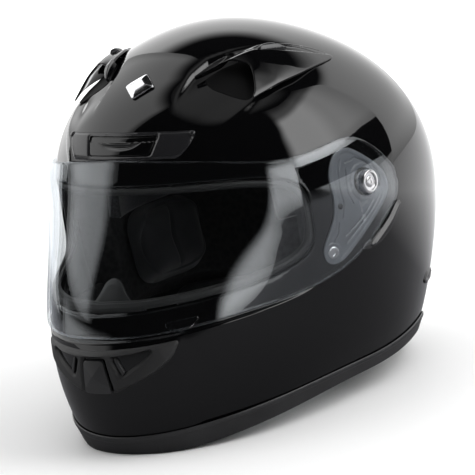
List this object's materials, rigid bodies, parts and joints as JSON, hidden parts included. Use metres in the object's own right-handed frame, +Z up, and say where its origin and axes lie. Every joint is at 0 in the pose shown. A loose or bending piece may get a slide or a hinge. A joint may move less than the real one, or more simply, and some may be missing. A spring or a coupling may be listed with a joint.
{
  "type": "full-face motorcycle helmet",
  "caption": "Full-face motorcycle helmet with a clear hinged face shield, sliding vents, padded interior, bottom edge trim and a buckled chin strap.",
  "frame": {"origin": "on the plane the bottom edge rests on, below the middle of the helmet", "axes": "+X towards the wearer's left, +Y towards the back of the head (the face is at -Y), +Z up"},
  "size_m": [0.2676, 0.3485, 0.266],
  "materials": {
    "gloss_black": "gloss lacquer",
    "satin_trim": "satin moulded",
    "rubber": "matte",
    "foam": "moulded bead foam",
    "liner_cloth": "brushed knit",
    "matte_black": "fine texture",
    "satin_black": "satin",
    "chrome": "polished",
    "clear_shield": "clear polycarbonate",
    "smoke_plastic": "moulded",
    "bright_steel": "polished",
    "webbing": "woven"
  },
  "bodies": {
    "helmet": {"outer_shell": "gloss_black", "bottom_edge_trim": "satin_trim", "eye_port_gasket": "rubber", "eps_liner": "foam", "crown_pad": "liner_cloth", "chin_eps": "foam", "left_cheek_pad": "liner_cloth", "right_cheek_pad": "liner_cloth", "neck_roll": "liner_cloth", "chin_curtain": "liner_cloth", "breath_deflector": "matte_black", "forehead_vent_housing": "satin_black", "left_top_vent_cover": "gloss_black", "right_top_vent_cover": "gloss_black", "chin_vent_housing": "matte_black", "rear_exhaust_cover": "satin_black", "left_rear_outlet": "satin_black", "right_rear_outlet": "satin_black", "front_badge": "chrome", "left_base_plate": "smoke_plastic", "right_base_plate": "smoke_plastic", "left_base_plate_screw": "chrome", "right_base_plate_screw": "chrome", "left_pivot_cap": "bright_steel", "right_pivot_cap": "bright_steel", "left_strap_anchor": "bright_steel", "right_strap_anchor": "bright_steel"},
    "shield": {"face_shield": "clear_shield", "shield_lift_tab": "clear_shield"},
    "forehead_shutter": {"forehead_vent_shutter": "gloss_black"},
    "left_slider": {"left_top_vent_slider": "satin_black"},
    "right_slider": {"right_top_vent_slider": "satin_black"},
    "chin_button": {"chin_vent_button": "satin_black"},
    "left_lever": {"left_release_lever": "satin_black"},
    "right_lever": {"right_release_lever": "satin_black"},
    "chin_strap": {"left_strap": "webbing", "right_strap": "webbing", "front_d_ring": "bright_steel", "back_d_ring": "bright_steel", "strap_end_snap": "matte_black"}
  },
  "joints": [
    {"name": "shield_hinge", "type": "hinge", "parent": "helmet", "child": "shield", "pos_m": [0, -0.0094, 0.1534], "axis": [-1, 0, 0], "range_deg": [0, 33]},
    {"name": "forehead_shutter_slide", "type": "slide", "parent": "helmet", "child": "forehead_shutter", "axis": [0, 0.4894, 0.8721], "range_m": [0, 0.0036]},
    {"name": "left_vent_slide", "type": "slide", "parent": "helmet", "child": "left_slider", "axis": [0.2234, 0.9746, 0.0154], "range_m": [0, 0.007]},
    {"name": "right_vent_slide", "type": "slide", "parent": "helmet", "child": "right_slider", "axis": [-0.2234, 0.9746, 0.0154], "range_m": [0, 0.007]},
    {"name": "chin_vent_slide", "type": "slide", "parent": "helmet", "child": "chin_button", "axis": [0, 0.0604, -0.9982], "range_m": [0, 0.004]},
    {"name": "left_lever_hinge", "type": "hinge", "parent": "helmet", "child": "left_lever", "pos_m": [0.1245, -0.0101, 0.1065], "axis": [-1, 0, 0], "range_deg": [0, 12], "stiffness_Nm_per_rad": 0.05},
    {"name": "right_lever_hinge", "type": "hinge", "parent": "helmet", "child": "right_lever", "pos_m": [-0.1245, -0.0101, 0.1065], "axis": [-1, 0, 0], "range_deg": [0, 12], "stiffness_Nm_per_rad": 0.05},
    {"name": "chin_strap_swing", "type": "hinge", "parent": "helmet", "child": "chin_strap", "pos_m": [0, 0.0009, 0.047], "axis": [1, 0, 0], "range_deg": [-20, 20]}
  ]
}
